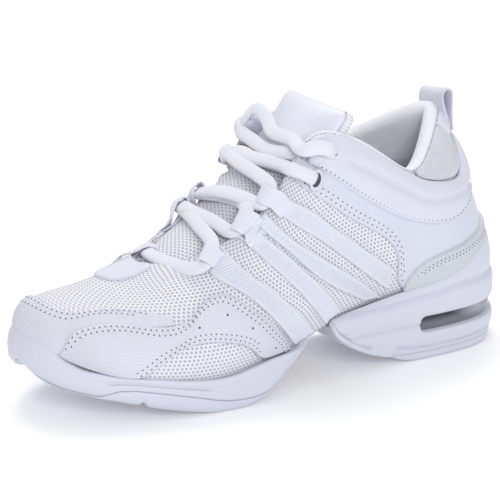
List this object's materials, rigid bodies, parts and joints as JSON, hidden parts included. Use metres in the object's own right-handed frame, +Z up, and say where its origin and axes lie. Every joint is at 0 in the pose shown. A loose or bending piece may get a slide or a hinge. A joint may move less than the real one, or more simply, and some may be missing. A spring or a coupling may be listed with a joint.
{
  "type": "cheer shoe",
  "caption": "White split-sole cheer shoe: mesh upper with sewn straps and panels, zigzag lace, padded collar, heel pull loop and a window in the heel for its clear cushion.",
  "frame": {"origin": "middle of the whole shoe's box in x and y, on the ground plane under it", "axes": "+X from the toe towards the heel, +Y towards the medial (inner) side, +Z up; the lateral side faces -Y"},
  "size_m": [0.263, 0.0952, 0.1317],
  "materials": {
    "coated_leather": "smooth white coated synthetic leather, faint cool cast",
    "grained_leather": "white synthetic leather with a fine woven grain",
    "white_mesh": "white engineered mesh, fine hexagonal holes",
    "white_webbing": "white ribbed webbing tape, matte",
    "white_lace": "white woven padded oval lace, matte",
    "lining_fabric": "white brushed knit lining, matte",
    "padding_foam": "soft open-cell padding foam, hidden",
    "stiffener": "thermoplastic stiffener sheet, hidden",
    "midsole_foam": "white moulded sole foam, satin",
    "sole_rubber": "white moulded rubber, satin",
    "clear_cushion": "clear moulded air cushion over a dark core, glossy",
    "aglet_plastic": "white plastic tip, glossy",
    "knit_trim": "white ribbed elastic knit, matte"
  },
  "bodies": {
    "rearfoot": {"heel_midsole": "midsole_foam", "heel_outsole": "sole_rubber", "heel_air_cushion": "clear_cushion", "heel_counter": "stiffener", "heel_lining": "lining_fabric", "heel_patch": "grained_leather", "heel_tab": "coated_leather", "collar_foam": "padding_foam", "collar_lining": "lining_fabric", "pull_loop_ends": "white_webbing", "strobel_sock": "lining_fabric", "sock_liner": "lining_fabric", "quarter_mesh_lateral": "white_mesh", "quarter_mesh_medial": "white_mesh", "quarter_lining_lateral": "lining_fabric", "quarter_lining_medial": "lining_fabric", "quarter_leather_lateral": "coated_leather", "quarter_leather_medial": "coated_leather", "collar_panel_lateral": "coated_leather", "collar_panel_medial": "coated_leather", "achilles_gore_lateral": "knit_trim", "achilles_gore_medial": "knit_trim"},
    "forefoot": {"forefoot_midsole": "midsole_foam", "forefoot_outsole": "sole_rubber", "toe_cap": "grained_leather", "toe_puff": "stiffener", "vamp_mesh": "white_mesh", "vamp_lining": "lining_fabric", "throat_tab": "white_webbing", "lace": "white_lace", "lace_aglet": "aglet_plastic", "mudguard_lateral": "grained_leather", "mudguard_medial": "grained_leather", "strap_1_lateral": "white_webbing", "strap_1_medial": "white_webbing", "strap_2_lateral": "white_webbing", "strap_2_medial": "white_webbing", "strap_3_lateral": "white_webbing", "strap_3_medial": "white_webbing", "strap_4_lateral": "white_webbing", "strap_4_medial": "white_webbing", "lace_loops_lateral": "white_webbing", "lace_loops_medial": "white_webbing"},
    "tongue": {"tongue_mesh": "white_mesh", "tongue_leather": "coated_leather", "tongue_foam": "padding_foam", "tongue_lining": "lining_fabric", "tongue_lace_keeper": "white_webbing"},
    "pull_loop": {"pull_loop": "white_webbing"}
  },
  "joints": [
    {"name": "arch_flex", "type": "hinge", "parent": "rearfoot", "child": "forefoot", "pos_m": [0.01, 0, 0.05], "axis": [0, 1, 0], "range_deg": [-18, 5], "stiffness_Nm_per_rad": 2, "deforming": ["quarter_mesh_lateral", "quarter_mesh_medial", "quarter_lining_lateral", "quarter_lining_medial", "quarter_leather_lateral", "quarter_leather_medial", "collar_panel_lateral", "collar_panel_medial", "collar_foam", "collar_lining", "strobel_sock", "sock_liner", "strap_2_lateral", "strap_2_medial", "strap_3_lateral", "strap_3_medial", "strap_4_lateral", "strap_4_medial"]},
    {"name": "tongue_press", "type": "hinge", "parent": "forefoot", "child": "tongue", "pos_m": [-0.067, 0, 0.0565], "axis": [0, 1, 0], "range_deg": [0, 6], "stiffness_Nm_per_rad": 0.4},
    {"name": "pull_loop_swing", "type": "hinge", "parent": "rearfoot", "child": "pull_loop", "pos_m": [0.0995, 0, 0.1205], "axis": [0, 1, 0], "range_deg": [-20, 25], "stiffness_Nm_per_rad": 0.02}
  ]
}
